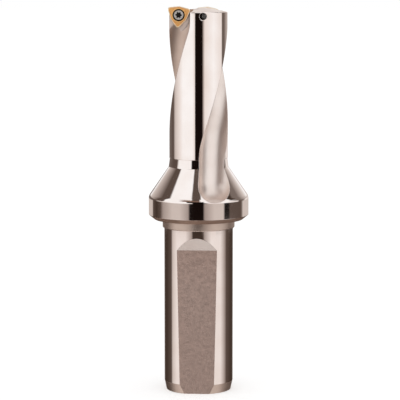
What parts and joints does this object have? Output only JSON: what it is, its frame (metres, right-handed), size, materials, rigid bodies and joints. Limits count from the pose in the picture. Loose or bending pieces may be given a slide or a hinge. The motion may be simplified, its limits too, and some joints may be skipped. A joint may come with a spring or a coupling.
{
  "type": "indexable drill",
  "caption": "Right-hand drill with helical flutes, screwed-on carbide inserts, a stop flange and a straight shank with an inclined clamping flat.",
  "frame": {"origin": "centre of the shank's rear face, on which the drill stands", "axes": "+Z along the drill's axis toward the cutting end; -Y is the side of the clamping flat and of the outer insert's rake face"},
  "size_m": [0.0362, 0.0362, 0.1398],
  "materials": {
    "plated_steel": "polished nickel plate on hardened steel, ground flat on the shank",
    "coated_carbide": "gold-coloured hard coating on sintered carbide",
    "screw_steel": "plain bright steel"
  },
  "bodies": {
    "root": {"drill_body": "plated_steel", "outer_insert": "coated_carbide", "inner_insert": "coated_carbide", "outer_screw": "screw_steel", "inner_screw": "screw_steel"}
  },
  "joints": []
}
